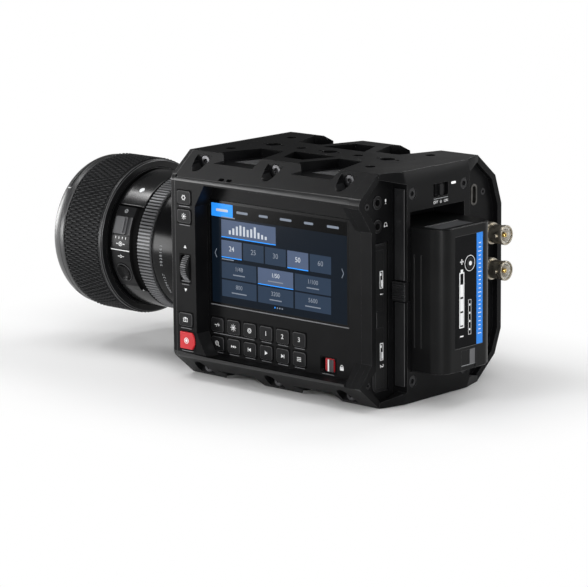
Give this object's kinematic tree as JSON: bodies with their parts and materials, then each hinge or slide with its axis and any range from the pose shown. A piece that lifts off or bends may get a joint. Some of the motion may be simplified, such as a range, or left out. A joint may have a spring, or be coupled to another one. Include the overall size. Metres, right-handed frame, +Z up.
{
  "type": "cinema camera with prime lens and battery",
  "caption": "Box-shaped cinema camera with bevelled metal housing, side screen and keypad, prime lens in front and a slide-on battery at the back.",
  "frame": {"origin": "mouth of the middle tripod thread in the underside, on the housing's mid plane", "axes": "+Z up, the lens looks along -Y, the operator's screen faces +X, the battery is at +Y"},
  "size_m": [0.1096, 0.2478, 0.1132],
  "materials": {
    "housing_black": "satin, fine grained",
    "strip_black": "satin",
    "screw_steel": "blackened",
    "screen": "gloss",
    "key_black": "matte",
    "key_red": "satin",
    "light_white": "gloss",
    "contact_gold": "polished",
    "battery_grey": "matte",
    "jack_black": "matte",
    "port_steel": "satin",
    "nickel": "polished",
    "slot_plastic": "matte",
    "sensor_dark": "gloss",
    "sink_alloy": "satin",
    "board_green": "satin",
    "mount_steel": "satin",
    "lens_black": "satin",
    "grip_rubber": "matte",
    "clear_glass": "coated"
  },
  "bodies": {
    "housing": {"audio_jacks": "jack_black", "battery_block": "housing_black", "battery_contacts": "contact_gold", "bnc_sockets": "nickel", "body_shell": "housing_black", "bottom_mount_strip": "strip_black", "cage_screws": "screw_steel", "card_slots": "slot_plastic", "fan_frame": "slot_plastic", "front_plate": "housing_black", "heat_sink": "sink_alloy", "image_sensor": "sensor_dark", "lens_mount_ring": "mount_steel", "main_board": "board_green", "power_socket": "jack_black", "rear_frame": "housing_black", "rear_screws": "screw_steel", "screen_glass": "screen", "side_plate": "housing_black", "status_light": "light_white", "top_mount_strip": "strip_black", "usb_port": "port_steel", "vent_grilles": "strip_black", "wheel_pin": "screw_steel"},
    "lens": {"lens_barrel": "lens_black", "lens_bayonet": "mount_steel", "lens_front_ring": "lens_black", "front_glass": "clear_glass", "rear_glass": "clear_glass"},
    "focus": {"focus_ring": "lens_black", "focus_grip": "grip_rubber"},
    "aperture": {"aperture_ring": "lens_black"},
    "focus_mode": {"af_switch": "key_black"},
    "focus_hold": {"focus_button": "key_black"},
    "wheel": {"thumb_wheel": "key_black"},
    "lock": {"lock_slider": "key_red"},
    "power": {"power_slider": "key_black"},
    "battery": {"battery": "battery_grey"},
    "battery_check": {"battery_check_button": "light_white"},
    "battery_latch": {"battery_release": "key_black"},
    "card_door": {"media_door": "jack_black"},
    "lens_release": {"lens_release_button": "key_black"},
    "fan": {"fan_rotor": "slot_plastic"},
    "iso_key_cap": {"iso_key": "key_black"},
    "balance_key_cap": {"balance_key": "key_black"},
    "shutter_key_cap": {"shutter_key": "key_black"},
    "one_key_cap": {"one_key": "key_black"},
    "two_key_cap": {"two_key": "key_black"},
    "three_key_cap": {"three_key": "key_black"},
    "zoom_key_cap": {"zoom_key": "key_black"},
    "speed_key_cap": {"speed_key": "key_black"},
    "back_key_cap": {"back_key": "key_black"},
    "play_key_cap": {"play_key": "key_black"},
    "next_key_cap": {"next_key": "key_black"},
    "menu_key_cap": {"menu_key": "key_black"},
    "settings_key_cap": {"settings_key": "key_black"},
    "assist_key_cap": {"assist_key": "key_black"},
    "still_key_cap": {"still_key": "key_black"},
    "record_key_cap": {"record_key": "key_red"}
  },
  "joints": [
    {"name": "iso_key_press", "type": "slide", "parent": "housing", "child": "iso_key_cap", "axis": [-1, 0, 0], "range_m": [0, 0.0008], "stiffness_N_per_m": 900},
    {"name": "balance_key_press", "type": "slide", "parent": "housing", "child": "balance_key_cap", "axis": [-1, 0, 0], "range_m": [0, 0.0008], "stiffness_N_per_m": 900},
    {"name": "shutter_key_press", "type": "slide", "parent": "housing", "child": "shutter_key_cap", "axis": [-1, 0, 0], "range_m": [0, 0.0008], "stiffness_N_per_m": 900},
    {"name": "one_key_press", "type": "slide", "parent": "housing", "child": "one_key_cap", "axis": [-1, 0, 0], "range_m": [0, 0.0008], "stiffness_N_per_m": 900},
    {"name": "two_key_press", "type": "slide", "parent": "housing", "child": "two_key_cap", "axis": [-1, 0, 0], "range_m": [0, 0.0008], "stiffness_N_per_m": 900},
    {"name": "three_key_press", "type": "slide", "parent": "housing", "child": "three_key_cap", "axis": [-1, 0, 0], "range_m": [0, 0.0008], "stiffness_N_per_m": 900},
    {"name": "zoom_key_press", "type": "slide", "parent": "housing", "child": "zoom_key_cap", "axis": [-1, 0, 0], "range_m": [0, 0.0008], "stiffness_N_per_m": 900},
    {"name": "speed_key_press", "type": "slide", "parent": "housing", "child": "speed_key_cap", "axis": [-1, 0, 0], "range_m": [0, 0.0008], "stiffness_N_per_m": 900},
    {"name": "back_key_press", "type": "slide", "parent": "housing", "child": "back_key_cap", "axis": [-1, 0, 0], "range_m": [0, 0.0008], "stiffness_N_per_m": 900},
    {"name": "play_key_press", "type": "slide", "parent": "housing", "child": "play_key_cap", "axis": [-1, 0, 0], "range_m": [0, 0.0008], "stiffness_N_per_m": 900},
    {"name": "next_key_press", "type": "slide", "parent": "housing", "child": "next_key_cap", "axis": [-1, 0, 0], "range_m": [0, 0.0008], "stiffness_N_per_m": 900},
    {"name": "menu_key_press", "type": "slide", "parent": "housing", "child": "menu_key_cap", "axis": [-1, 0, 0], "range_m": [0, 0.0008], "stiffness_N_per_m": 900},
    {"name": "settings_key_press", "type": "slide", "parent": "housing", "child": "settings_key_cap", "axis": [-1, 0, 0], "range_m": [0, 0.0008], "stiffness_N_per_m": 900},
    {"name": "assist_key_press", "type": "slide", "parent": "housing", "child": "assist_key_cap", "axis": [-1, 0, 0], "range_m": [0, 0.0008], "stiffness_N_per_m": 900},
    {"name": "still_key_press", "type": "slide", "parent": "housing", "child": "still_key_cap", "axis": [-1, 0, 0], "range_m": [0, 0.0008], "stiffness_N_per_m": 900},
    {"name": "record_key_press", "type": "slide", "parent": "housing", "child": "record_key_cap", "axis": [-1, 0, 0], "range_m": [0, 0.0008], "stiffness_N_per_m": 900},
    {"name": "wheel_spin", "type": "hinge", "parent": "housing", "child": "wheel", "pos_m": [0.0457, -0.0505, 0.056], "axis": [0, 1, 0], "continuous": true},
    {"name": "lock_slide", "type": "slide", "parent": "housing", "child": "lock", "axis": [0, -1, 0], "range_m": [0, 0.0023]},
    {"name": "power_slide", "type": "slide", "parent": "housing", "child": "power", "axis": [1, 0, 0], "range_m": [-0.0026, 0.0026]},
    {"name": "battery_lift", "type": "slide", "parent": "housing", "child": "battery", "axis": [0, 0, 1], "range_m": [0, 0.0064]},
    {"name": "battery_check_press", "type": "slide", "parent": "battery", "child": "battery_check", "axis": [0, -1, 0], "range_m": [0, 0.0005], "stiffness_N_per_m": 900},
    {"name": "battery_latch_press", "type": "slide", "parent": "housing", "child": "battery_latch", "axis": [-1, 0, 0], "range_m": [0, 0.0012], "stiffness_N_per_m": 900},
    {"name": "card_door_swing", "type": "hinge", "parent": "housing", "child": "card_door", "pos_m": [0.0288, 0.0593, 0.0432], "axis": [0, 0, 1], "range_deg": [0, 100]},
    {"name": "lens_release_press", "type": "slide", "parent": "housing", "child": "lens_release", "axis": [0, 1, 0], "range_m": [0, 0.0016], "stiffness_N_per_m": 900},
    {"name": "fan_spin", "type": "hinge", "parent": "housing", "child": "fan", "pos_m": [0, -0.013, 0.0568], "axis": [0, 1, 0], "continuous": true},
    {"name": "lens_twist", "type": "hinge", "parent": "housing", "child": "lens", "pos_m": [0, -0.0606, 0.0568], "axis": [0, 1, 0], "range_deg": [0, 60]},
    {"name": "focus_spin", "type": "hinge", "parent": "lens", "child": "focus", "pos_m": [0, -0.1356, 0.0568], "axis": [0, 1, 0], "continuous": true},
    {"name": "aperture_turn", "type": "hinge", "parent": "lens", "child": "aperture", "pos_m": [0, -0.0956, 0.0568], "axis": [0, 1, 0], "range_deg": [-35, 35]},
    {"name": "focus_mode_slide", "type": "slide", "parent": "lens", "child": "focus_mode", "axis": [0, 1, 0], "range_m": [0, 0.0032]},
    {"name": "focus_hold_press", "type": "slide", "parent": "lens", "child": "focus_hold", "axis": [-0.9285, 0, 0.3714], "range_m": [0, 0.0006], "stiffness_N_per_m": 900}
  ]
}
